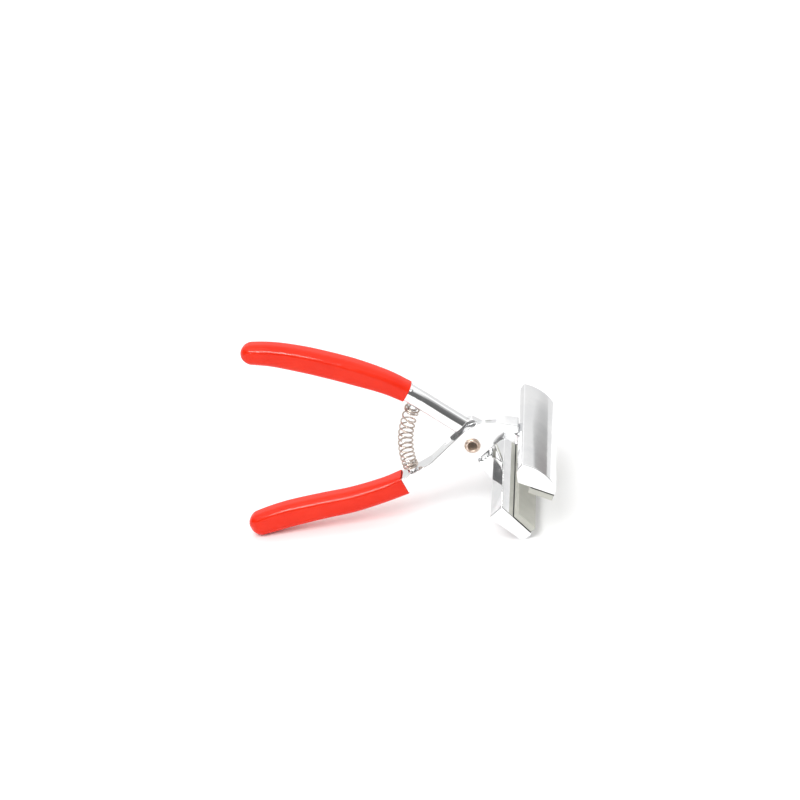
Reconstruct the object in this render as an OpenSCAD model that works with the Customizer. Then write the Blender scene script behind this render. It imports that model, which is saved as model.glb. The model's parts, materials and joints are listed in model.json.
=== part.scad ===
// Wide-jaw spring-return pliers: two crossed levers on one hollow rivet, each with a 120 mm wide
// jaw bar, a bonded rubber pad and a dipped handle grip, and a bowed compression spring between them.
// X runs along the tool towards the jaws, Y along the pivot axis and Z up. The tool stands on the
// lower jaw's edge and on the tip of the lower grip, with its jaws open against their stop.

/* [Jaws] */
// Width of both jaw bars, along the pivot axis
jaw_w = 120; // [80:1:140]
// Angle that closes the jaws, from fully open to pad against pad
closing_angle = 25; // [15:1:25]
// Thickness of each rubber pad
pad_t = 4.3; // [3:0.1:4.3]
// Thickness of the bonding layer under each pad
bond_t = 0.5; // [0.2:0.1:0.5]
// Radius of the fillets where the arms meet the jaw bars
root_r = 3; // [1:0.5:4]

/* [Levers] */
// Thickness of the levers where they are not halved
lever_t = 13; // [13:0.5:14]
// Gap between the two halved cheeks, which holds the thrust washer
cheek_gap = 0.4; // [0.3:0.1:0.6]
// Half height of the rounded neck of the upper lever
neck_h = 6.4; // [6.4:0.1:7]
// Radius of the neck's two upper edges
neck_edge_r = 6.3; // [4:0.1:6.3]
// Radius of the neck's two lower edges
neck_low_r = 4.2; // [3:0.1:5]

/* [Grips] */
// Half height of the tangs inside the grips
tang_h = 5.4; // [4:0.1:5.6]
// Half width of the tangs inside the grips
tang_w = 5.2; // [4:0.1:5.4]
// Clearance between a tang and its grip
tang_fit = 0.05; // [0.05:0.01:0.2]
// Radius of the grips' long edges
grip_edge_r = 5.6; // [4:0.1:6]
// Radius of the lower grip's edges at its mouth, where it follows the square handle
mouth_edge_r = 2.6; // [2:0.1:4]

/* [Pivot] */
// Outer radius of the hollow rivet's shank
rivet_r = 4.2; // [4:0.05:4.4]
// Radius of the hole through the rivet
rivet_hole_r = 3.2; // [2.5:0.1:3.4]
// Outer radius of the rivet's two heads
rivet_head_r = 5.1; // [4.8:0.1:5.4]
// Thickness of the rivet's heads
rivet_head_t = 0.9; // [0.6:0.1:1.2]
// Radial running clearance of the rivet in the levers
rivet_fit = 0.05; // [0.02:0.01:0.1]
// Outer radius of the washers under the heads
washer_r = 5.8; // [5.6:0.1:7]
// Thickness of the washers under the heads
washer_t = 0.4; // [0.3:0.1:0.6]

/* [Spring] */
// Wire diameter of the return spring
wire_d = 1.3; // [1:0.1:1.5]
// Mean radius of the spring's coils
coil_r = 5.2; // [4.8:0.1:5.4]
// Number of turns from end to end
spring_turns = 14; // [11:1:15]
// Radius of the studs that hold the spring's ends
stud_r = 3.6; // [3:0.1:3.9]

/* [Hidden] */

// The pivot's place above the middle of the tool's footprint
pivot_x = 59.3;
pivot_z = 51;

half_t = lever_t / 2;
cheek_in = cheek_gap / 2;
bore_r = rivet_r + rivet_fit;

// Directions of the two jaws when open, measured at the pivot, and the places along and across them
lower_dir = -56;
upper_dir = lower_dir + closing_angle;
lower_face = 3.0;
meet_line = 7.8;
meet_gap = 0.05;
lower_pad_face = lower_face + bond_t + pad_t;
upper_pad_face = 2 * meet_line - lower_pad_face + 2 * meet_gap;
upper_face = upper_pad_face + pad_t + bond_t;
pad_start = 40.2;
pad_end = 57.6;

// Colours
CHROME = [0.85, 0.86, 0.88];
VINYL = [0.86, 0.12, 0.08];
RUBBER = [0.55, 0.56, 0.50];
BOND = [0.08, 0.08, 0.08];
BRONZE = [0.55, 0.42, 0.33];
WIRE = [0.56, 0.46, 0.42];

// ---- Plane geometry: points are [x, z] about the pivot ----

function unit(v) = v / norm(v);
function flat_point(p) = [p.x, p.y];
function turned(p, angle) = [p.x * cos(angle) - p.y * sin(angle), p.x * sin(angle) + p.y * cos(angle)];

// The arc of radius r that rounds the corner b between a and c
function corner_arc(a, b, c, r, steps) =
    let (
        u = unit(a - b), v = unit(c - b),
        half = acos(u * v) / 2,
        centre = b + unit(u + v) * r / sin(half),
        first = b + u * r / tan(half) - centre,
        last = b + v * r / tan(half) - centre,
        start = atan2(first.y, first.x),
        raw = atan2(last.y, last.x) - start,
        sweep = raw > 180 ? raw - 360 : raw < -180 ? raw + 360 : raw
    )
    [for (i = [0:steps]) centre + r * [cos(start + sweep * i / steps), sin(start + sweep * i / steps)]];

// An outline from corners [x, z, radius]; a corner with no radius stays sharp
function outline(corners, steps = 6) =
    let (n = len(corners))
    [for (i = [0:n - 1])
        let (a = corners[(i + n - 1) % n], b = corners[i], c = corners[(i + 1) % n])
        each b.z > 0
            ? corner_arc(flat_point(a), flat_point(b), flat_point(c), b.z, steps)
            : [flat_point(b)]];

// Points of the arc from a to b that bulges by the given height to the left of a-b
function bulge(a, b, height, steps) =
    let (
        chord = norm(b - a),
        r = (chord * chord / 4 + height * height) / (2 * height),
        along = unit(b - a),
        left = [-along.y, along.x],
        centre = (a + b) / 2 - left * (r - height),
        reach = asin(chord / (2 * r))
    )
    [for (i = [0:steps])
        let (angle = reach * (2 * i / steps - 1))
        centre + r * (cos(angle) * left + sin(angle) * along)];

// A smooth curve through hand-chosen points
function curve_at(points, t) =
    let (
        n = len(points),
        i = min(floor(t), n - 2),
        f = t - i,
        p0 = points[max(i - 1, 0)], p1 = points[i],
        p2 = points[i + 1], p3 = points[min(i + 2, n - 1)]
    )
    0.5 * (2 * p1 + f * (p2 - p0) + f * f * (2 * p0 - 5 * p1 + 4 * p2 - p3)
        + f * f * f * (3 * p1 - p0 - 3 * p2 + p3));
function curve(points, steps) =
    [for (i = [0:steps]) curve_at(points, (len(points) - 1) * i / steps)];
function tangent(line, i) = unit(line[min(i + 1, len(line) - 1)] - line[max(i - 1, 0)]);
function normal(line, i) = let (t = tangent(line, i)) [-t.y, t.x];

// ---- Solids from plane outlines ----

module slab(points, y0, y1) {
    translate([0, y1, 0]) rotate([90, 0, 0]) linear_extrude(y1 - y0) polygon(points);
}

// A slab drawn along a jaw's direction: x runs along the jaw and z across it
module jaw_slab(points, direction, y0, y1) {
    rotate([0, -direction, 0]) slab(points, y0, y1);
}

// A round pin or hole along the pivot axis
module cross_pin(r, y0, y1) {
    translate([0, y1, 0]) rotate([90, 0, 0]) cylinder(r = r, h = y1 - y0, $fn = 96);
}

// A ring of a rounded rectangle, as [up, sideways] pairs; high and low are its upper and lower edge radii
function section(h, w, high, low, steps = 8) =
    [for (corner = [0:3])
        let (
            r = corner < 2 ? high : low,
            cx = (corner == 0 || corner == 3 ? 1 : -1) * (w - r),
            cz = (corner < 2 ? 1 : -1) * (h - r)
        )
        for (i = [0:steps])
            let (angle = 90 * corner + 90 * i / steps)
            [cz + r * sin(angle), cx + r * cos(angle)]];

// A closed solid through rings of points
module lofted(rings) {
    n = len(rings[0]);
    last = len(rings) - 1;
    polyhedron(
        points = [for (ring = rings) each ring],
        faces = [
            [for (k = [0:n - 1]) k],
            [for (k = [n - 1:-1:0]) last * n + k],
            for (i = [0:last - 1]) for (k = [0:n - 1])
                let (a = i * n + k, b = i * n + (k + 1) % n)
                each [[a, a + n, b], [b, a + n, b + n]]
        ],
        convexity = 6
    );
}

// Rings of a rounded bar along a plane curve; sizes holds [half height, half width, upper and lower edge
// radius] for each ring
function bar_rings(line, sizes) =
    [for (i = [0:len(line) - 1])
        let (side = normal(line, i), size = sizes[i])
        [for (p = section(size[0], size[1], size[2], size[3]))
            [line[i].x + side.x * p[0], p[1], line[i].y + side.y * p[0]]]];

// ---- Handles ----

// Centrelines of the grips, from the mouth to the tip
UPPER_LINE = [
    [-38.6, 47.5], [-52.5, 57.8], [-71.5, 68.6], [-90.5, 78], [-109.5, 86.3], [-129, 93.2], [-149.4, 97.4]
];
LOWER_LINE = [
    [-54.8, -24.9], [-70.3, -29], [-95, -33.4], [-118.5, -35.2], [-141.5, -37.4], [-158, -40], [-176.6, -43.8]
];
// Half heights, half widths and edge radii of the grips along those lines, one row a point
UPPER_SIZES = [
    [7.4, 7.4, grip_edge_r], [8.1, 7.6, grip_edge_r], [8.9, 7.8, grip_edge_r], [9, 7.8, grip_edge_r],
    [8.9, 7.7, grip_edge_r], [8.3, 7.5, grip_edge_r], [7.6, 7.2, grip_edge_r]
];
LOWER_SIZES = [
    [7.6, 7.5, mouth_edge_r], [8.2, 7.7, grip_edge_r - 0.6], [8.8, 7.9, grip_edge_r], [9.1, 7.9, grip_edge_r],
    [9.4, 7.9, grip_edge_r], [9.3, 7.8, grip_edge_r], [8.6, 7.4, grip_edge_r]
];

grip_rings = 36;
tip_length = 8.5;

// A ring's size, which shrinks as a quarter ellipse over the grip's rounded tip
function tip_shrink(line, i) =
    let (left = norm(line[len(line) - 1] - line[i]))
    left >= tip_length ? 1 : max(sqrt(1 - pow(1 - left / tip_length, 2)), 0.12);

// The curve with extra points over the last stretch, so that the tip is round
function grip_curve(points) =
    [for (i = [0:grip_rings])
        let (u = i / grip_rings) curve_at(points, (len(points) - 1) * (1 - pow(1 - u, 1.6)))];
function grip_curve_sizes(points, sizes) =
    let (line = grip_curve(points))
    [for (i = [0:grip_rings])
        let (
            u = i / grip_rings,
            size = curve_at(sizes, (len(sizes) - 1) * (1 - pow(1 - u, 1.6))),
            k = tip_shrink(line, i)
        )
        [size[0] * k, size[1] * k, size[2] * k, size[2] * k]];

// The tang's outline inside a grip: a strip along the grip's centreline
tang_steps = 24;
tang_share = 0.92;
function tang_strip(points, h, before) =
    let (
        inside = [for (i = [0:tang_steps]) curve_at(points, (len(points) - 1) * tang_share * i / tang_steps)],
        line = concat([inside[0] - before * unit(inside[1] - inside[0])], inside)
    )
    concat(
        [for (i = [0:len(line) - 1]) line[i] + normal(line, i) * h],
        [for (i = [len(line) - 1:-1:0]) line[i] - normal(line, i) * h]
    );

module grip(points, sizes) {
    difference() {
        lofted(bar_rings(grip_curve(points), grip_curve_sizes(points, sizes)));
        slab(tang_strip(points, tang_h + tang_fit, 1), -tang_w - tang_fit, tang_w + tang_fit);
    }
}

// ---- Jaws ----

UPPER_JAW = concat(
    [[30.6, upper_face], [27.1, 20], [26.9, 23.3], [28, 27.9]],
    bulge([29.5, 28.1], [54.6, 20.6], 2.6, 14),
    [[57.3, 17.8], [57.7, upper_face]]
);
rest_depth = -51;
rest_from = 26.6;
rest_to = 30.2;
LOWER_JAW = concat(
    [[28.6, lower_face], [58.4, lower_face], [59.5, 1.8]],
    [turned([rest_to, rest_depth], -lower_dir), turned([rest_from, rest_depth], -lower_dir)],
    [[30.8, -9.3], [28.8, -8.5]]
);

// The concave fillet on both sides of an arm, along the jaw's back face from p to q
module root_fillet(p, q, r) {
    angle = atan2(q.y - p.y, q.x - p.x);
    length = norm(q - p);
    for (side = [-1, 1])
        translate([p.x, 0, p.y]) rotate([0, -angle, 0])
            difference() {
                translate([0, side > 0 ? half_t - 0.5 : -half_t - r, -0.5]) cube([length, r + 0.5, r + 0.5]);
                translate([-1, side * (half_t + r), r]) rotate([0, 90, 0])
                    cylinder(r = r, h = length + 2, $fn = 48);
            }
}

// ---- Levers ----

// Upper lever: rounded neck, halved cheek on the far side, full arm and lower jaw
NECK_LINE = curve([[-44, 52], [-38.6, 47.5], [-30.2, 39.8], [-18, 27.5], [-5.6, 15.1], [-1, 10.5]], 20);
shoulder_angle = 35;
shoulder_offset = 15.4;
FAR_CHEEK = outline([
    [-31, 41, 0], [-27.5, 33.5, 6], [-19.5, 17.5, 9], [-15.2, 2, 12], [-12, -10.6, 9],
    [-2.5, -15.6, 4], [2.4, -18, 5], [8.2, -29.6, 0], [18.2, -22.4, 2.2], [15.6, -6, 14],
    [15.4, 5.5, 9], [7.5, 14.2, 3], [2.6, 17.9, 2], [-2, 17.6, 0], [-12, 25, 0]
], 5);
NEAR_ARM = outline([
    [1.5, -12.7, 0], [3.4, -14.5, 0], [8.6, -11.1, 0], [11.8, -10.6, 2], [14.4, -14, 3],
    [18.2, -22.4, 2], [8.2, -29.6, 0], [2.4, -18, 5]
], 5);

// A rounded bar along the neck's line, larger by the given fit
module neck(line, fit = 0) {
    lofted(bar_rings(line, [for (p = line) [neck_h + fit, half_t + fit, neck_edge_r, neck_low_r]]));
}

module upper_lever_body() {
    difference() {
        neck(NECK_LINE);
        rotate([0, -shoulder_angle, 0])
            translate([-30, -half_t - 1, -40]) cube([80, half_t + 1 + cheek_in, 40 + shoulder_offset]);
    }
    slab(FAR_CHEEK, cheek_in, half_t);
    slab(NEAR_ARM, -half_t, cheek_in + 0.1);
    slab(tang_strip(UPPER_LINE, tang_h, 2), -tang_w, tang_w);
    jaw_slab(LOWER_JAW, lower_dir, -jaw_w / 2, jaw_w / 2);
    root_fillet(turned([29, lower_face - 0.6], lower_dir), turned([29.4, -8], lower_dir), root_r);
}

module upper_lever() {
    color(CHROME) translate([pivot_x, 0, pivot_z]) difference() {
        upper_lever_body();
        cross_pin(bore_r, 0, half_t + 1);
        stud(UPPER_SEAT, UPPER_STUD_END, stud_fit);
    }
}

// Lower lever: full handle, halved cheek on the near side, full arm and upper jaw
HANDLE_END = [[-57.4, -19.3], [-54, -18.4], [-52.6, -30.8], [-56, -31.7]];
HANDLE_BEND = [-32.5, -9.4];
CHEEK_TOP = [-9.5, 8];
CHEEK_LOW = [-3.2, -15.5];
ARM_TOP = [[9.5, 16.2], [24, 14.6]];
// The far side's corners lie on the near side's edges
far_top = HANDLE_BEND + 0.51 * (CHEEK_TOP - HANDLE_BEND);
far_low = CHEEK_LOW + 0.15 * (HANDLE_END[2] - CHEEK_LOW);
far_arm = ARM_TOP[0] + 0.16 * (ARM_TOP[1] - ARM_TOP[0]);
NEAR_CHEEK = outline([
    [-54, -18.4, 0], [-42, -13.6, 12], [-32.5, -9.4, 12], [-9.5, 8, 8], [-3.5, 12.4, 10], [9.5, 16.2, 14],
    [24, 14.6, 30], [35, 10.8, 0], [34.4, 0, 0], [31.6, -5.2, 0], [25, 0.9, 5], [20.2, 0.6, 4],
    [-3.2, -15.5, 12], [-52.6, -30.8, 0]
], 5);
FAR_HANDLE = outline([
    [-54, -18.4, 0], [-42, -13.6, 12], [-32.5, -9.4, 12],
    [far_top.x, far_top.y, 0], [far_low.x, far_low.y, 0], [-52.6, -30.8, 0]
], 5);
FAR_ARM = outline([
    [far_arm.x, far_arm.y, 0], [24, 14.6, 30], [35, 10.8, 0], [34.4, 0, 0], [31.6, -5.2, 0], [25, 0.9, 5],
    [20.2, 0.6, 0]
], 5);

module lower_lever_body() {
    slab(NEAR_CHEEK, -half_t, -cheek_in);
    slab(FAR_HANDLE, -cheek_in - 0.1, half_t);
    slab(FAR_ARM, -cheek_in - 0.1, half_t);
    slab(HANDLE_END, -half_t, half_t);
    slab(tang_strip(LOWER_LINE, tang_h, 2), -tang_w, tang_w);
    jaw_slab(UPPER_JAW, upper_dir, -jaw_w / 2, jaw_w / 2);
    root_fillet(turned([30.3, 13.2], upper_dir), turned([26.7, 20.9], upper_dir), root_r);
}

module lower_lever() {
    color(CHROME) translate([pivot_x, 0, pivot_z]) difference() {
        lower_lever_body();
        cross_pin(bore_r, -half_t - 1, 0);
        stud(LOWER_SEAT, LOWER_STUD_END, stud_fit);
    }
}

// ---- Grips ----

// The upper grip's mouth, which takes in the end of the neck
module upper_grip() {
    room = concat([NECK_LINE[0] + 0.1 * unit(NECK_LINE[0] - NECK_LINE[1])], NECK_LINE);
    color(VINYL) translate([pivot_x, 0, pivot_z]) difference() {
        grip(UPPER_LINE, UPPER_SIZES);
        neck(room, tang_fit);
    }
}
// The lower grip, whose mouth takes in the end of the square handle
module lower_grip() {
    color(VINYL) translate([pivot_x, 0, pivot_z]) difference() {
        grip(LOWER_LINE, LOWER_SIZES);
        translate([0, half_t + tang_fit, 0]) rotate([90, 0, 0])
            linear_extrude(lever_t + 2 * tang_fit) offset(delta = tang_fit) polygon(HANDLE_END);
    }
}

// ---- Pads ----

module pad_block(direction, low, high) {
    translate([pivot_x, 0, pivot_z])
        jaw_slab(
            [[pad_start, low], [pad_end, low], [pad_end, high], [pad_start, high]],
            direction, -jaw_w / 2, jaw_w / 2
        );
}

module upper_jaw_pad() { color(RUBBER) pad_block(upper_dir, upper_pad_face, upper_face - bond_t); }
module lower_jaw_pad() { color(RUBBER) pad_block(lower_dir, lower_face + bond_t, lower_pad_face); }
module upper_pad_bond() { color(BOND) pad_block(upper_dir, upper_face - bond_t, upper_face); }
module lower_pad_bond() { color(BOND) pad_block(lower_dir, lower_face, lower_face + bond_t); }

// ---- Pivot ----

rivet_out = half_t + washer_t;
rivet_end = rivet_out + rivet_head_t;
rim_r = 0.4;

// The rivet's shank and its two heads, turned as one section about the pivot axis
module pivot_rivet() {
    color(BRONZE) translate([pivot_x, 0, pivot_z]) rotate([90, 0, 0]) rotate_extrude($fn = 96)
        polygon([
            [rivet_hole_r, -rivet_end], [rivet_head_r - rim_r, -rivet_end], [rivet_head_r, rim_r - rivet_end],
            [rivet_head_r, -rivet_out], [rivet_r, -rivet_out], [rivet_r, rivet_out],
            [rivet_head_r, rivet_out], [rivet_head_r, rivet_end - rim_r], [rivet_head_r - rim_r, rivet_end],
            [rivet_hole_r, rivet_end]
        ]);
}

module washer(r, y0, y1) {
    color(BRONZE) translate([pivot_x, 0, pivot_z]) difference() {
        cross_pin(r, y0, y1);
        cross_pin(bore_r, y0 - 1, y1 + 1);
    }
}

module near_rivet_washer() { washer(washer_r, -rivet_out, -half_t); }
module far_rivet_washer() { washer(washer_r, half_t, rivet_out); }
module thrust_washer() { washer(10, -cheek_in, cheek_in); }

// ---- Return spring ----

// The bowed centreline of the spring, from the upper seat to the lower one
SPRING_LINE = [
    [-37.5, 34.2], [-42.2, 25], [-45.5, 17], [-47.7, 9], [-48.8, 0.8], [-48.8, -6.5], [-48.2, -12.2]
];
turn_steps = 16;
wire_sides = 6;
closed_turns = 1.6;
spring_length = 49;

// The share of the spring's length reached after a share of its turns: the end turns lie close together
function coil_share(u) =
    let (
        closed = closed_turns / spring_turns,
        touch = closed_turns * wire_d / spring_length,
        open = (u - closed) / (1 - 2 * closed)
    )
    u < closed ? touch * u / closed
        : u > 1 - closed ? 1 - touch * (1 - u) / closed
        : touch + (1 - 2 * touch) * open;
function coil_point(u) =
    let (
        t = coil_share(u) * (len(SPRING_LINE) - 1),
        p = curve_at(SPRING_LINE, t),
        ahead = curve_at(SPRING_LINE, min(t + 0.05, len(SPRING_LINE) - 1)),
        behind = curve_at(SPRING_LINE, max(t - 0.05, 0)),
        along = unit(ahead - behind),
        turn = 360 * spring_turns * u
    )
    [p.x - along.y * coil_r * cos(turn), coil_r * sin(turn), p.y + along.x * coil_r * cos(turn)];
function wire_ring(a, b, c) =
    let (
        along = unit(c - a),
        side = unit(cross(along, [0, 0, 1])),
        up = cross(side, along)
    )
    [for (k = [0:wire_sides - 1])
        b + wire_d / 2 * (cos(360 * k / wire_sides) * side + sin(360 * k / wire_sides) * up)];

module return_spring() {
    steps = spring_turns * turn_steps;
    route = [for (i = [0:steps]) coil_point(i / steps)];
    color(WIRE) translate([pivot_x, 0, pivot_z])
        lofted([for (i = [0:steps]) wire_ring(route[max(i - 1, 0)], route[i], route[min(i + 1, steps)])]);
}

// A stud in the plane of the levers, from its seat inside the lever to its end inside the spring;
// with a fit it is the larger space that takes the stud
module stud(seat, end, fit = 0) {
    lean = atan2(end.x - seat.x, end.y - seat.y);
    length = norm(end - seat);
    translate([seat.x, 0, seat.y]) rotate([0, lean, 0]) {
        translate([0, 0, -fit]) cylinder(r = stud_r + fit, h = length - stud_tip + fit, $fn = 48);
        translate([0, 0, length - stud_tip])
            cylinder(r1 = stud_r + fit, r2 = stud_r + fit - stud_tip, h = stud_tip, $fn = 48);
    }
}

stud_fit = 0.05;
stud_tip = 1;
UPPER_SEAT = [-35.4, 38.4];
UPPER_STUD_END = [-40, 29.4];
LOWER_SEAT = [-47.3, -18.2];
LOWER_STUD_END = [-48.4, -8.4];

module upper_spring_stud() {
    color(CHROME) translate([pivot_x, 0, pivot_z]) stud(UPPER_SEAT, UPPER_STUD_END);
}
module lower_spring_stud() {
    color(CHROME) translate([pivot_x, 0, pivot_z]) stud(LOWER_SEAT, LOWER_STUD_END);
}

upper_lever();
lower_lever();
upper_grip();
lower_grip();
upper_jaw_pad();
lower_jaw_pad();
upper_pad_bond();
lower_pad_bond();
pivot_rivet();
near_rivet_washer();
far_rivet_washer();
thrust_washer();
return_spring();
upper_spring_stud();
lower_spring_stud();
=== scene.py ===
import json
import math

import bmesh
import bpy
from mathutils import Matrix, Vector

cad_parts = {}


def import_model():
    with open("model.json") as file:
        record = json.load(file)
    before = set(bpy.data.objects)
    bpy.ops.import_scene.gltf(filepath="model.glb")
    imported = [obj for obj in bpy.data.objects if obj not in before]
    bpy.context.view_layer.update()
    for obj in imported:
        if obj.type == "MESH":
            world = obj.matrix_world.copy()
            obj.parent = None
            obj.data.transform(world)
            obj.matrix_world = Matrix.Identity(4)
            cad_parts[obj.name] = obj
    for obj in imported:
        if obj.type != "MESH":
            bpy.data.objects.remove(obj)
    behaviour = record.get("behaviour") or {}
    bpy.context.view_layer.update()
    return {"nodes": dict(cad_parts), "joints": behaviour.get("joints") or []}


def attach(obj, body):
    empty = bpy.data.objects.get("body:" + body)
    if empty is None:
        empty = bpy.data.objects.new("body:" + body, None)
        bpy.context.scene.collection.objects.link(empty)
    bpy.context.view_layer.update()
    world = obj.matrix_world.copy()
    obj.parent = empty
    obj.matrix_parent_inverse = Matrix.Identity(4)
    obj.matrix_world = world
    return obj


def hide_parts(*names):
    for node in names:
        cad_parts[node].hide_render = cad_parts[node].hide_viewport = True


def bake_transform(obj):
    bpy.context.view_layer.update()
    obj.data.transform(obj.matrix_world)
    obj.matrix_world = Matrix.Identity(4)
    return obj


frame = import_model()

MM = 0.001
PIVOT = Vector(frame["joints"][0]["pos_m"])
UPPER_SIDE = "upper_handle_side"
LOWER_SIDE = "lower_handle_side"


# ---- Curves and mesh helpers; plane points are [x, z] in millimetres about the pivot ----

def curve_at(points, t):
    last = len(points) - 1
    i = min(int(math.floor(t)), last - 1)
    f = t - i
    rows = [points[max(i - 1, 0)], points[i], points[i + 1], points[min(i + 2, last)]]
    result = []
    for p0, p1, p2, p3 in zip(*rows):
        result.append(0.5 * (2 * p1 + f * (p2 - p0) + f * f * (2 * p0 - 5 * p1 + 4 * p2 - p3)
                             + f ** 3 * (3 * p1 - p0 - 3 * p2 + p3)))
    return result


def place(x, y, z):
    """A point about the pivot, in millimetres, as a point in the frame, in metres."""
    return PIVOT + Vector((x, y, z)) * MM


def new_piece(name, points, faces, material):
    mesh = bpy.data.meshes.new(name)
    mesh.from_pydata([tuple(p) for p in points], [], faces)
    mesh.validate()
    cleaned = bmesh.new()
    cleaned.from_mesh(mesh)
    bmesh.ops.recalc_face_normals(cleaned, faces=cleaned.faces)
    cleaned.to_mesh(mesh)
    cleaned.free()
    piece = bpy.data.objects.new(name, mesh)
    bpy.context.scene.collection.objects.link(piece)
    mesh.materials.append(material)
    mesh.polygons.foreach_set("use_smooth", [True] * len(mesh.polygons))
    return piece


def ring_faces(rings, points_a_ring, closed=False):
    """Quads between rings of points, with end caps where the stack isn't closed."""
    faces = []
    count = rings if closed else rings - 1
    for i in range(count):
        j = (i + 1) % rings
        for k in range(points_a_ring):
            m = (k + 1) % points_a_ring
            faces.append((i * points_a_ring + k, i * points_a_ring + m,
                          j * points_a_ring + m, j * points_a_ring + k))
    if not closed:
        faces.append(tuple(range(points_a_ring)))
        faces.append(tuple((rings - 1) * points_a_ring + k for k in range(points_a_ring)))
    return faces


# ---- Materials ----

def start_material(name):
    material = bpy.data.materials.new(name)
    material.use_nodes = True
    tree = material.node_tree
    shader = tree.nodes["Principled BSDF"]
    place_node = tree.nodes.new("ShaderNodeTexCoord")
    return material, tree, shader, place_node.outputs["Object"]


def noise_node(tree, vector, scale, detail=4.0, rough=0.55):
    node = tree.nodes.new("ShaderNodeTexNoise")
    node.inputs["Scale"].default_value = scale
    node.inputs["Detail"].default_value = detail
    node.inputs["Roughness"].default_value = rough
    tree.links.new(vector, node.inputs["Vector"])
    return node.outputs["Fac"]


def ramp_node(tree, value, stops):
    node = tree.nodes.new("ShaderNodeValToRGB")
    ramp = node.color_ramp
    ramp.elements[0].position, ramp.elements[0].color = stops[0][0], stops[0][1]
    ramp.elements[1].position, ramp.elements[1].color = stops[-1][0], stops[-1][1]
    for position, colour in stops[1:-1]:
        ramp.elements.new(position).color = colour
    tree.links.new(value, node.inputs["Fac"])
    return node.outputs["Color"]


def grey(value):
    return (value, value, value, 1)


def bump_node(tree, height, strength, distance, normal=None):
    node = tree.nodes.new("ShaderNodeBump")
    node.inputs["Strength"].default_value = strength
    node.inputs["Distance"].default_value = distance
    tree.links.new(height, node.inputs["Height"])
    if normal:
        tree.links.new(normal, node.inputs["Normal"])
    return node.outputs["Normal"]


def chrome_material():
    material, tree, shader, here = start_material("chrome_plate")
    shader.inputs["Metallic"].default_value = 1.0
    cloud = noise_node(tree, here, 55, 3)
    tree.links.new(ramp_node(tree, cloud, [(0.3, (0.86, 0.865, 0.875, 1)), (0.7, (0.95, 0.95, 0.95, 1))]),
                   shader.inputs["Base Color"])
    wipe = noise_node(tree, here, 240, 5, 0.6)
    tree.links.new(ramp_node(tree, wipe, [(0.35, grey(0.055)), (0.7, grey(0.13))]),
                   shader.inputs["Roughness"])
    ripple = noise_node(tree, here, 60, 2, 0.4)
    first = bump_node(tree, ripple, 0.10, 0.0006)
    fine = noise_node(tree, here, 900, 3, 0.5)
    second = bump_node(tree, fine, 0.03, 0.0002, first)
    tree.links.new(second, shader.inputs["Normal"])
    return material


def vinyl_material():
    material, tree, shader, here = start_material("dipped_vinyl")
    shader.inputs["Specular IOR Level"].default_value = 0.27
    cloud = noise_node(tree, here, 38, 4)
    tree.links.new(ramp_node(tree, cloud, [(0.3, (0.76, 0.018, 0.003, 1)), (0.7, (0.84, 0.029, 0.007, 1))]),
                   shader.inputs["Base Color"])
    haze = noise_node(tree, here, 150, 4)
    tree.links.new(ramp_node(tree, haze, [(0.3, grey(0.15)), (0.75, grey(0.24))]), shader.inputs["Roughness"])
    dips = noise_node(tree, here, 95, 2, 0.4)
    first = bump_node(tree, dips, 0.10, 0.0006)
    peel = noise_node(tree, here, 1300, 3)
    tree.links.new(bump_node(tree, peel, 0.03, 0.0002, first), shader.inputs["Normal"])
    return material


def rubber_material():
    material, tree, shader, here = start_material("pad_rubber")
    shader.inputs["Specular IOR Level"].default_value = 0.3
    cloud = noise_node(tree, here, 60, 5, 0.6)
    tree.links.new(ramp_node(tree, cloud, [(0.3, (0.47, 0.47, 0.42, 1)), (0.7, (0.54, 0.54, 0.49, 1))]),
                   shader.inputs["Base Color"])
    grain = noise_node(tree, here, 1900, 4, 0.7)
    tree.links.new(ramp_node(tree, grain, [(0.3, grey(0.62)), (0.7, grey(0.82))]), shader.inputs["Roughness"])
    tree.links.new(bump_node(tree, grain, 0.35, 0.0002), shader.inputs["Normal"])
    return material


# The thin layer between each pad and its jaw, made near-black all over.
def pad_black_layer_material():
    material, tree, shader, here = start_material("pad_bond")
    cloud = noise_node(tree, here, 500, 4)
    tree.links.new(ramp_node(tree, cloud, [(0.3, grey(0.012)), (0.7, grey(0.03))]),
                   shader.inputs["Base Color"])
    tree.links.new(ramp_node(tree, cloud, [(0.3, grey(0.45)), (0.7, grey(0.7))]), shader.inputs["Roughness"])
    tree.links.new(bump_node(tree, cloud, 0.3, 0.0002), shader.inputs["Normal"])
    return material


def bronze_material():
    material, tree, shader, here = start_material("rivet_bronze")
    shader.inputs["Metallic"].default_value = 1.0
    cloud = noise_node(tree, here, 420, 5, 0.65)
    stops = [(0.28, (0.30, 0.21, 0.15, 1)), (0.5, (0.56, 0.45, 0.37, 1)), (0.72, (0.74, 0.65, 0.58, 1))]
    tree.links.new(ramp_node(tree, cloud, stops), shader.inputs["Base Color"])
    tree.links.new(ramp_node(tree, cloud, [(0.3, grey(0.45)), (0.7, grey(0.22))]), shader.inputs["Roughness"])
    tree.links.new(bump_node(tree, cloud, 0.25, 0.0002), shader.inputs["Normal"])
    return material


def bore_material():
    material, tree, shader, here = start_material("rivet_bore")
    cloud = noise_node(tree, here, 500, 5, 0.65)
    tree.links.new(ramp_node(tree, cloud, [(0.3, (0.30, 0.22, 0.16, 1)), (0.7, (0.52, 0.42, 0.34, 1))]),
                   shader.inputs["Base Color"])
    tree.links.new(ramp_node(tree, cloud, [(0.3, grey(0.5)), (0.7, grey(0.75))]), shader.inputs["Roughness"])
    tree.links.new(bump_node(tree, cloud, 0.3, 0.0002), shader.inputs["Normal"])
    return material


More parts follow.
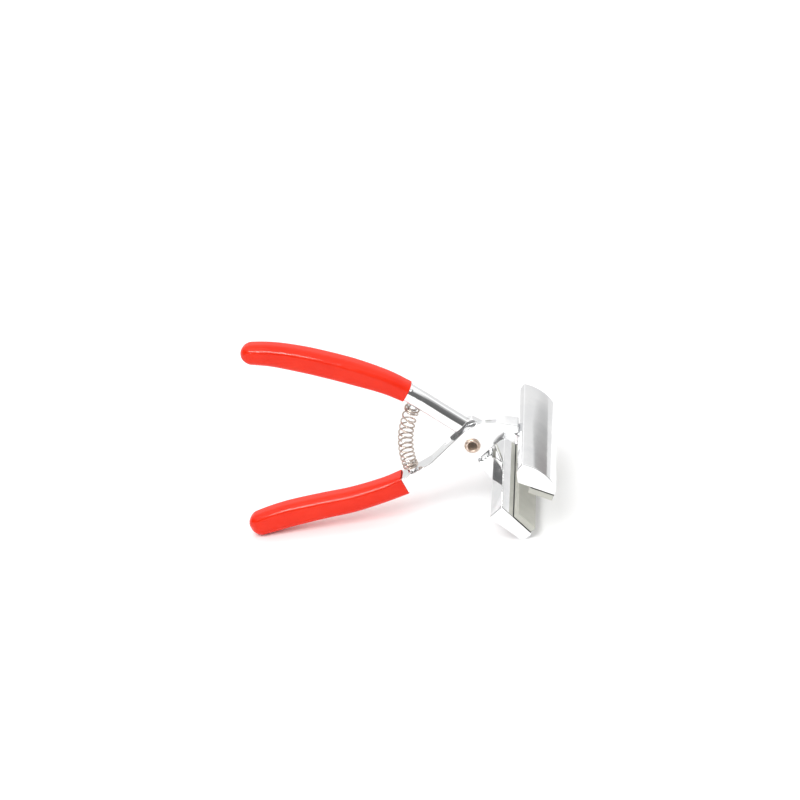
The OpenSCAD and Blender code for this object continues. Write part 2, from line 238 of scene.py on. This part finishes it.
def wire_material():
    material, tree, shader, here = start_material("spring_wire")
    shader.inputs["Metallic"].default_value = 1.0
    cloud = noise_node(tree, here, 300, 4, 0.6)
    tree.links.new(ramp_node(tree, cloud, [(0.3, (0.42, 0.34, 0.28, 1)), (0.7, (0.72, 0.65, 0.60, 1))]),
                   shader.inputs["Base Color"])
    drawn = noise_node(tree, here, 1500, 2, 0.5)
    tree.links.new(ramp_node(tree, drawn, [(0.3, grey(0.22)), (0.7, grey(0.38))]), shader.inputs["Roughness"])
    tree.links.new(bump_node(tree, drawn, 0.1, 0.0001), shader.inputs["Normal"])
    return material


CHROME = chrome_material()
VINYL = vinyl_material()
RUBBER = rubber_material()
PAD_BLACK_LAYER = pad_black_layer_material()
BRONZE = bronze_material()
BORE = bore_material()
WIRE = wire_material()


# ---- Levers: the castings with their outward edges rounded ----

EDGE_MM = 0.6
EDGE_STEPS = 3
EDGE_ANGLE = math.radians(32)
SHARP_ANGLE = math.radians(38)
FLAT_ANGLE = math.radians(0.1)
WELD_MM = 0.002
NORMAL_WEIGHT = 80


def casting(name, node, body):
    """The lever as cast and chromed: its outward edges are rounded and its faces polished smooth."""
    mesh = bpy.data.meshes.new(name)
    shape = bmesh.new()
    shape.from_mesh(frame["nodes"][node].data)
    bmesh.ops.remove_doubles(shape, verts=shape.verts, dist=WELD_MM * MM)
    bmesh.ops.dissolve_limit(shape, angle_limit=FLAT_ANGLE, verts=shape.verts, edges=shape.edges)
    bmesh.ops.recalc_face_normals(shape, faces=shape.faces)
    sharp = [edge for edge in shape.edges
             if len(edge.link_faces) == 2 and edge.calc_face_angle(0) > EDGE_ANGLE and edge.is_convex]
    bmesh.ops.bevel(
        shape, geom=sharp, offset=EDGE_MM * MM, offset_type="OFFSET", segments=EDGE_STEPS, profile=0.5,
        affect="EDGES", clamp_overlap=False, loop_slide=True, miter_outer="ARC", miter_inner="SHARP")
    shape.to_mesh(mesh)
    shape.free()
    piece = bpy.data.objects.new(name, mesh)
    bpy.context.scene.collection.objects.link(piece)
    mesh.materials.append(CHROME)
    mesh.polygons.foreach_set("use_smooth", [True] * len(mesh.polygons))
    mesh.set_sharp_from_angle(angle=SHARP_ANGLE)
    weighted = piece.modifiers.new("weighted", "WEIGHTED_NORMAL")
    weighted.keep_sharp = True
    weighted.weight = NORMAL_WEIGHT
    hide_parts(node)
    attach(piece, body)


casting("upper_lever_casting", "upper_lever", UPPER_SIDE)
casting("lower_lever_casting", "lower_lever", LOWER_SIDE)


# ---- Grips: dipped sleeves with a rolled mouth ----

GRIP_EDGE_MM = 5.6
# Centrelines from the mouth to the tip, with the half height, half width and edge radius at each point
UPPER_LINE = [
    [-38.6, 47.5], [-52.5, 57.8], [-71.5, 68.6], [-90.5, 78], [-109.5, 86.3], [-129, 93.2], [-149.4, 97.4]]
UPPER_SIZES = [
    [7.4, 7.4, GRIP_EDGE_MM], [8.1, 7.6, GRIP_EDGE_MM], [8.9, 7.8, GRIP_EDGE_MM], [9, 7.8, GRIP_EDGE_MM],
    [8.9, 7.7, GRIP_EDGE_MM], [8.3, 7.5, GRIP_EDGE_MM], [7.6, 7.2, GRIP_EDGE_MM]]
LOWER_LINE = [
    [-54.8, -24.9], [-70.3, -29], [-95, -33.4], [-118.5, -35.2], [-141.5, -37.4], [-158, -40],
    [-176.6, -43.8]]
LOWER_SIZES = [
    [7.6, 7.5, 2.6], [8.2, 7.7, 5], [8.8, 7.9, GRIP_EDGE_MM], [9.1, 7.9, GRIP_EDGE_MM],
    [9.4, 7.9, GRIP_EDGE_MM], [9.3, 7.8, GRIP_EDGE_MM], [8.6, 7.4, GRIP_EDGE_MM]]
GRIP_TIP_MM = 8.5
GRIP_TIP_LEAST = 0.06
GRIP_CROWDING = 1.8
GRIP_INSET_MM = 0.03
SLEEVE_MM = 0.85
SLEEVE_DEPTH_MM = 4
LIP_STEPS = 6
GRIP_RINGS = 90
CORNER_STEPS = 10


def section(half_height, half_width, radius):
    """A rounded rectangle as pairs of up and across."""
    pairs = []
    for corner in range(4):
        across = (1 if corner in (0, 3) else -1) * (half_width - radius)
        up = (1 if corner < 2 else -1) * (half_height - radius)
        for i in range(CORNER_STEPS + 1):
            angle = math.radians(90 * corner + 90 * i / CORNER_STEPS)
            pairs.append((up + radius * math.sin(angle), across + radius * math.cos(angle)))
    return pairs


def ring_share(i):
    """The share of a grip's length at a ring; the rings crowd together towards the tip."""
    return 1 - (1 - i / GRIP_RINGS) ** GRIP_CROWDING


def tip_share(left):
    """How much of its full size a ring has, by how far it is from the end of the rounded tip."""
    if left >= GRIP_TIP_MM:
        return 1
    return max(math.sqrt(max(1 - (1 - left / GRIP_TIP_MM) ** 2, 0)), GRIP_TIP_LEAST)


def grip(name, node, body, points, sizes):
    """A dipped sleeve: up the inside of its mouth, round the rolled lip and along the outside to the tip."""
    last = len(points) - 1
    end = Vector(points[last])
    stations = [curve_at(points, last * ring_share(i)) for i in range(GRIP_RINGS + 1)]
    rings = []

    def add_ring(centre, up, half_height, half_width, radius):
        rings.append([place(centre[0] + up[0] * a, b, centre[1] + up[1] * a)
                      for a, b in section(half_height, half_width, radius)])

    first_along = (Vector(stations[1]) - Vector(stations[0])).normalized()
    first_up = Vector((-first_along.y, first_along.x))
    mouth = Vector(stations[0])
    h, w, edge = (value - GRIP_INSET_MM for value in sizes[0])
    lip = SLEEVE_MM / 2
    inner = mouth + first_along * SLEEVE_DEPTH_MM
    add_ring(inner, first_up, h - SLEEVE_MM, w - SLEEVE_MM, edge - SLEEVE_MM)
    for i in range(LIP_STEPS + 1):
        angle = math.pi * i / LIP_STEPS
        inset = lip * (1 + math.cos(angle))
        depth = lip * (1 - math.sin(angle))
        add_ring(mouth + first_along * depth, first_up, h - inset, w - inset, edge - inset)
    for i in range(1, GRIP_RINGS + 1):
        here = Vector(stations[i])
        ahead = Vector(stations[min(i + 1, GRIP_RINGS)])
        behind = Vector(stations[i - 1])
        along = (ahead - behind).normalized()
        up = Vector((-along.y, along.x))
        size = [value - GRIP_INSET_MM for value in curve_at(sizes, last * ring_share(i))]
        k = tip_share((end - here).length)
        add_ring(here, up, size[0] * k, size[1] * k, size[2] * k)
    faces = ring_faces(len(rings), len(rings[0]))
    piece = new_piece(name, [p for ring in rings for p in ring], faces, VINYL)
    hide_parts(node)
    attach(piece, body)


grip("upper_dipped_grip", "upper_grip", UPPER_SIDE, UPPER_LINE, UPPER_SIZES)
grip("lower_dipped_grip", "lower_grip", LOWER_SIDE, LOWER_LINE, LOWER_SIZES)


# ---- Pads ----

PAD_EDGE_MM = 0.45
PAD_EDGE_STEPS = 4
PAD_FLAT_ANGLE = math.radians(1)


def rounded_pad(name, node, body):
    """The node's own block with its edges rounded."""
    mesh = bpy.data.meshes.new(name)
    shape = bmesh.new()
    shape.from_mesh(frame["nodes"][node].data)
    bmesh.ops.remove_doubles(shape, verts=shape.verts, dist=WELD_MM * MM)
    bmesh.ops.dissolve_limit(shape, angle_limit=PAD_FLAT_ANGLE, verts=shape.verts, edges=shape.edges)
    sharp = [edge for edge in shape.edges
             if len(edge.link_faces) == 2 and edge.calc_face_angle(0) > EDGE_ANGLE]
    bmesh.ops.bevel(
        shape, geom=sharp, offset=PAD_EDGE_MM * MM, offset_type="OFFSET", segments=PAD_EDGE_STEPS,
        profile=0.5, affect="EDGES", clamp_overlap=True)
    shape.to_mesh(mesh)
    shape.free()
    piece = bpy.data.objects.new(name, mesh)
    bpy.context.scene.collection.objects.link(piece)
    mesh.materials.append(RUBBER)
    mesh.polygons.foreach_set("use_smooth", [True] * len(mesh.polygons))
    weighted = piece.modifiers.new("weighted", "WEIGHTED_NORMAL")
    weighted.weight = NORMAL_WEIGHT
    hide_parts(node)
    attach(piece, body)


rounded_pad("upper_rubber_pad", "upper_jaw_pad", LOWER_SIDE)
rounded_pad("lower_rubber_pad", "lower_jaw_pad", UPPER_SIDE)


# ---- Return spring ----

SPRING_LINE = [
    [-37.5, 34.2], [-42.2, 25], [-45.5, 17], [-47.7, 9], [-48.8, 0.8], [-48.8, -6.5], [-48.2, -12.2]]
WIRE_MM = 1.3
COIL_MM = 5.2
SPRING_TURNS = 14
CLOSED_TURNS = 1.6
SPRING_MM = 49
TURN_STEPS = 30
WIRE_SIDES = 10
LOOK_AHEAD = 0.05


def coil_share(u):
    """The share of the spring's length reached after a share of its turns; its end turns lie close."""
    closed = CLOSED_TURNS / SPRING_TURNS
    touch = CLOSED_TURNS * WIRE_MM / SPRING_MM
    if u < closed:
        return touch * u / closed
    if u > 1 - closed:
        return 1 - touch * (1 - u) / closed
    return touch + (1 - 2 * touch) * (u - closed) / (1 - 2 * closed)


def coil_point(u):
    last = len(SPRING_LINE) - 1
    t = coil_share(u) * last
    p = Vector(curve_at(SPRING_LINE, t))
    ahead = Vector(curve_at(SPRING_LINE, min(t + LOOK_AHEAD, last)))
    behind = Vector(curve_at(SPRING_LINE, max(t - LOOK_AHEAD, 0)))
    along = (ahead - behind).normalized()
    turn = math.radians(360 * SPRING_TURNS * u)
    return Vector((p.x - along.y * COIL_MM * math.cos(turn), COIL_MM * math.sin(turn),
                   p.y + along.x * COIL_MM * math.cos(turn)))


def spring():
    steps = SPRING_TURNS * TURN_STEPS
    route = [coil_point(i / steps) for i in range(steps + 1)]
    points = []
    for i, here in enumerate(route):
        along = (route[min(i + 1, steps)] - route[max(i - 1, 0)]).normalized()
        side = along.cross(Vector((0, 0, 1))).normalized()
        up = side.cross(along)
        for k in range(WIRE_SIDES):
            angle = 2 * math.pi * k / WIRE_SIDES
            p = here + (side * math.cos(angle) + up * math.sin(angle)) * WIRE_MM / 2
            points.append(place(*p))
    piece = new_piece("coil_spring", points, ring_faces(steps + 1, WIRE_SIDES), WIRE)
    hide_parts("return_spring")
    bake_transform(piece)


spring()


# ---- Hollow rivet with rolled rims ----

RIVET_HOLE_MM = 3.2
RIVET_SHANK_MM = 4.2
RIVET_HEAD_MM = 5.1
RIVET_OUT_MM = 6.9
RIVET_END_MM = 7.8
BORE_STRAIGHT_MM = 5.6
ROLL_STEPS = 10
ROLL_GAP_MM = 0.02
RIM_STEP_MM = 0.05
LATHE_STEPS = 72
RIM_ANGLE = math.radians(50)


def rivet_profile():
    """Pairs of radius and y round half of the rivet's wall, from the bore over the head to the shank."""
    half = [(RIVET_HOLE_MM, 0.0), (RIVET_HOLE_MM, BORE_STRAIGHT_MM)]
    centre_r = (RIVET_HEAD_MM + RIVET_HOLE_MM) / 2
    centre_y = RIVET_OUT_MM + ROLL_GAP_MM
    roll_r = (RIVET_HEAD_MM - RIVET_HOLE_MM) / 2 - ROLL_GAP_MM
    roll_y = RIVET_END_MM - RIVET_OUT_MM - 2 * ROLL_GAP_MM
    for i in range(ROLL_STEPS + 1):
        angle = math.pi * (1 - i / ROLL_STEPS)
        half.append((centre_r + roll_r * math.cos(angle), centre_y + roll_y * math.sin(angle)))
    half += [
        (RIVET_HEAD_MM - RIM_STEP_MM, RIVET_OUT_MM), (RIVET_SHANK_MM, RIVET_OUT_MM), (RIVET_SHANK_MM, 0.0)]
    return half


def rivet():
    half = rivet_profile()
    loop = half + [(r, -y) for r, y in reversed(half[1:-1])]
    points = []
    for i in range(LATHE_STEPS):
        turn = 2 * math.pi * i / LATHE_STEPS
        points += [place(r * math.cos(turn), y, r * math.sin(turn)) for r, y in loop]
    faces = ring_faces(LATHE_STEPS, len(loop), closed=True)
    piece = new_piece("hollow_rivet", points, faces, BRONZE)
    piece.data.set_sharp_from_angle(angle=RIM_ANGLE)
    piece.data.materials.append(BORE)
    for face in piece.data.polygons:
        middle = (face.center - PIVOT) / MM
        if math.hypot(middle.x, middle.z) < RIVET_HOLE_MM + ROLL_GAP_MM and abs(middle.y) < RIVET_OUT_MM:
            face.material_index = 1
    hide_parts("pivot_rivet")
    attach(piece, UPPER_SIDE)


rivet()


# ---- Materials of the CAD nodes that show as they are ----

CAD_MATERIALS = {
    "upper_pad_bond": PAD_BLACK_LAYER, "lower_pad_bond": PAD_BLACK_LAYER,
    "near_rivet_washer": BRONZE, "far_rivet_washer": BRONZE, "thrust_washer": BRONZE,
    "upper_spring_stud": CHROME, "lower_spring_stud": CHROME,
}
for node, material in CAD_MATERIALS.items():
    for entry in frame["nodes"][node].material_slots:
        entry.material = material


# ---- Floor, light and world ----

FLOOR_M = 6.0


def floor():
    material, tree, shader, here = start_material("floor_paper")
    shader.inputs["Specular IOR Level"].default_value = 0.1
    shader.inputs["Roughness"].default_value = 0.9
    cloud = noise_node(tree, here, 3, 2)
    tree.links.new(ramp_node(tree, cloud, [(0.2, grey(0.92)), (0.8, grey(0.93))]),
                   shader.inputs["Base Color"])
    mesh = bpy.data.meshes.new("floor")
    corners = [(x * FLOOR_M, y * FLOOR_M, 0) for x, y in ((-1, -1), (1, -1), (1, 1), (-1, 1))]
    mesh.from_pydata(corners, [], [(0, 1, 2, 3)])
    mesh.materials.append(material)
    table = bpy.data.objects.new("floor", mesh)
    bpy.context.scene.collection.objects.link(table)


def sheet(name, corners, material):
    """A band of faces through pairs of corners, which casts no shadow and gives no diffuse light."""
    mesh = bpy.data.meshes.new(name)
    faces = [(i, i + 1, i + 3, i + 2) for i in range(0, len(corners) - 2, 2)]
    mesh.from_pydata(corners, [], faces)
    mesh.materials.append(material)
    piece = bpy.data.objects.new(name, mesh)
    bpy.context.scene.collection.objects.link(piece)
    piece.visible_diffuse = False
    piece.visible_shadow = False
    return piece


BACKDROP_M = 5.5
BACKDROP_LOW_M = -0.01
BACKDROP_HIGH_M = 5.0
BACKDROP_STEPS = 48


def glow_material(name, strength):
    """A material that only glows, white unless its colour is linked."""
    material = bpy.data.materials.new(name)
    material.use_nodes = True
    tree = material.node_tree
    tree.nodes.clear()
    glow = tree.nodes.new("ShaderNodeEmission")
    glow.inputs["Strength"].default_value = strength
    out = tree.nodes.new("ShaderNodeOutputMaterial")
    tree.links.new(glow.outputs["Emission"], out.inputs["Surface"])
    return material, tree, glow


def curved_wall(reach, low, high, first, last, steps):
    """Corners of an upright wall round the origin, from the first to the last angle in degrees."""
    corners = []
    for i in range(steps + 1):
        angle = math.radians(first + (last - first) * i / steps)
        x, y = reach * math.cos(angle), reach * math.sin(angle)
        corners += [(x, y, low), (x, y, high)]
    return corners


def backdrop():
    """The white paper all round, which only the camera sees."""
    material = glow_material("backdrop", 1.0)[0]
    corners = curved_wall(BACKDROP_M, BACKDROP_LOW_M, BACKDROP_HIGH_M, 0, 360, BACKDROP_STEPS)
    paper = sheet("backdrop", corners, material)
    paper.visible_glossy = False
    paper.visible_transmission = False


def card(name, corners, build):
    """A card that only shiny surfaces see; build makes its colour from the place on the card."""
    material, tree, glow = glow_material(name, 1.0)
    here = tree.nodes.new("ShaderNodeTexCoord").outputs["Object"]
    tree.links.new(build(tree, here), glow.inputs["Color"])
    sheet(name, corners, material).visible_camera = False


def position_ramp(tree, here, axis, low, high, stops):
    """A colour that changes along one axis, between two places in metres."""
    split = tree.nodes.new("ShaderNodeSeparateXYZ")
    tree.links.new(here, split.inputs["Vector"])
    spread = tree.nodes.new("ShaderNodeMapRange")
    spread.inputs["From Min"].default_value = low
    spread.inputs["From Max"].default_value = high
    tree.links.new(split.outputs[axis], spread.inputs["Value"])
    return ramp_node(tree, spread.outputs["Result"], stops)


def lighten(tree, a, b):
    """The lighter of two colours."""
    mix = tree.nodes.new("ShaderNodeMix")
    mix.data_type = "RGBA"
    mix.blend_type = "LIGHTEN"
    mix.inputs["Factor"].default_value = 1
    tree.links.new(a, mix.inputs["A"])
    tree.links.new(b, mix.inputs["B"])
    return mix.outputs["Result"]


RIGHT_CARD_FROM = (0.27, 0.375)
RIGHT_CARD_TO = (0.45, 0.26)
RIGHT_CARD_DARK_X = 0.34
RIGHT_CARD_HIGH_M = 0.17


def right_card():
    """The dark shape that the near half of the upper jaw mirrors."""
    def colour(tree, here):
        across = position_ramp(tree, here, "X", RIGHT_CARD_FROM[0], RIGHT_CARD_DARK_X, [
            (0.0, grey(0.84)), (0.25, grey(0.62)), (0.5, grey(0.48)), (1.0, (0.36, 0.34, 0.335, 1))])
        up = position_ramp(tree, here, "Z", 0.0, RIGHT_CARD_HIGH_M, [
            (0.0, grey(0.45)), (0.15, grey(0.0)), (0.65, grey(0.0)), (1.0, grey(0.84))])
        return lighten(tree, across, up)
    corners = []
    for foot in (RIGHT_CARD_FROM, RIGHT_CARD_TO):
        corners += [(*foot, 0.0), (*foot, RIGHT_CARD_HIGH_M)]
    card("right_card", corners, colour)


FRONT_WALL_M = 0.75
FRONT_WALL_HIGH_M = 0.16
FRONT_WALL_FROM = -178
FRONT_WALL_TO = -2
FRONT_WALL_STEPS = 24


def front_wall():
    """The dim room in front of the table, low down, as the mirrors see it."""
    def colour(tree, here):
        return position_ramp(tree, here, "Z", 0.0, FRONT_WALL_HIGH_M, [
            (0.0, grey(0.5)), (0.15, grey(0.18)), (1.0, grey(0.14))])
    corners = curved_wall(
        FRONT_WALL_M, 0.0, FRONT_WALL_HIGH_M, FRONT_WALL_FROM, FRONT_WALL_TO, FRONT_WALL_STEPS)
    card("front_wall", corners, colour)


BACK_FLOOR_M = (0.24, 4.0)
BACK_FLOOR_Z = 0.003
BACK_FLOOR_FROM = -15
BACK_FLOOR_TO = 195
BACK_FLOOR_STEPS = 24
BACK_FLOOR_FADE_M = 0.6


def back_floor():
    """The far part of the table behind the tool, dimmer than the lit part in front."""
    corners = []
    for i in range(BACK_FLOOR_STEPS + 1):
        angle = math.radians(BACK_FLOOR_FROM + (BACK_FLOOR_TO - BACK_FLOOR_FROM) * i / BACK_FLOOR_STEPS)
        for reach in BACK_FLOOR_M:
            corners.append((reach * math.cos(angle), reach * math.sin(angle), BACK_FLOOR_Z))

    def colour(tree, here):
        return position_ramp(tree, here, "Y", 0.0, BACK_FLOOR_FADE_M, [
            (0.0, grey(0.95)), (0.3, grey(0.86)), (1.0, grey(0.84))])
    card("back_floor", corners, colour)


STRIP_M = 1.1
STRIP_FROM = -36
STRIP_TO = 8
STRIP_STEPS = 8
STRIP_RISE = (30, 34)
STRIP_STRENGTH = 60


def highlight_strip():
    """A long lamp in front, a little steeper than the camera's view, which the grips show as a thin line."""
    corners = []
    for i in range(STRIP_STEPS + 1):
        turn = math.radians(STRIP_FROM + (STRIP_TO - STRIP_FROM) * i / STRIP_STEPS)
        for rise in STRIP_RISE:
            lift = math.radians(rise)
            out = STRIP_M * math.cos(lift)
            corners.append((out * math.sin(turn), -out * math.cos(turn), STRIP_M * math.sin(lift)))
    material = glow_material("highlight_strip", STRIP_STRENGTH)[0]
    sheet("highlight_strip", corners, material).visible_camera = False


SKY_STRENGTH = 1.25


def world():
    """Dark in front up to about 30 degrees, where the room is, and light above that and behind."""
    sky = bpy.data.worlds.new("studio")
    bpy.context.scene.world = sky
    sky.use_nodes = True
    tree = sky.node_tree
    background = tree.nodes["Background"]
    coordinates = tree.nodes.new("ShaderNodeTexCoord")
    split = tree.nodes.new("ShaderNodeSeparateXYZ")
    tree.links.new(coordinates.outputs["Generated"], split.inputs["Vector"])
    height = tree.nodes.new("ShaderNodeMapRange")
    height.inputs["From Min"].default_value = -1
    height.inputs["From Max"].default_value = 1
    tree.links.new(split.outputs["Z"], height.inputs["Value"])
    front = ramp_node(tree, height.outputs["Result"],
                      [(0.45, grey(0.11)), (0.60, grey(0.12)), (0.74, grey(0.15)), (0.80, grey(0.9))])
    back = ramp_node(tree, height.outputs["Result"],
                     [(0.50, grey(0.67)), (0.66, grey(0.68)), (0.70, grey(0.72)), (0.75, grey(1.0))])
    side = tree.nodes.new("ShaderNodeMapRange")
    side.interpolation_type = "SMOOTHSTEP"
    side.inputs["From Min"].default_value = -0.10
    side.inputs["From Max"].default_value = 0.35
    tree.links.new(split.outputs["Y"], side.inputs["Value"])
    mix = tree.nodes.new("ShaderNodeMix")
    mix.data_type = "RGBA"
    tree.links.new(side.outputs["Result"], mix.inputs["Factor"])
    tree.links.new(front, mix.inputs["A"])
    tree.links.new(back, mix.inputs["B"])
    tree.links.new(mix.outputs["Result"], background.inputs["Color"])
    background.inputs["Strength"].default_value = SKY_STRENGTH


def soft_sun(name, towards, strength, spread):
    """Even soft light that comes from the given side; mirrors don't show it."""
    data = bpy.data.lights.new(name, "SUN")
    data.energy = strength
    data.angle = math.radians(spread)
    light = bpy.data.objects.new(name, data)
    light.rotation_euler = (-Vector(towards)).to_track_quat("-Z", "Y").to_euler()
    bpy.context.scene.collection.objects.link(light)
    light.visible_glossy = False


floor()
backdrop()
world()
right_card()
front_wall()
back_floor()
highlight_strip()
soft_sun("key", (-0.30, -0.50, 1.0), 1.15, 42)
soft_sun("fill", (0.5, -1.0, 0.5), 0.65, 60)

scene = bpy.context.scene
scene.view_settings.view_transform = "Standard"
scene.view_settings.look = "None"


# ---- Camera ----

VIEW_AZIMUTH = 10.03
VIEW_ELEVATION = 26.56
VIEW_ROLL = -13.07
VIEW_DISTANCE = 1.3678
VIEW_AIM = PIVOT + Vector((-46.87, 10.24, 36.47)) * MM
SENSOR_MM = 36.0
LENS_MM = 85.5


def add_camera():
    azimuth, elevation, roll = (math.radians(a) for a in (VIEW_AZIMUTH, VIEW_ELEVATION, VIEW_ROLL))
    turn = Matrix.Rotation(azimuth, 4, "Z") @ Matrix.Rotation(math.pi / 2 - elevation, 4, "X")
    turn = turn @ Matrix.Rotation(roll, 4, "Z")
    back = turn.to_3x3() @ Vector((0, 0, 1))
    data = bpy.data.cameras.new("view")
    data.lens = LENS_MM
    data.sensor_width = SENSOR_MM
    camera = bpy.data.objects.new("view", data)
    camera.matrix_world = Matrix.Translation(VIEW_AIM + back * VIEW_DISTANCE) @ turn
    bpy.context.scene.collection.objects.link(camera)
    bpy.context.scene.camera = camera


add_camera()
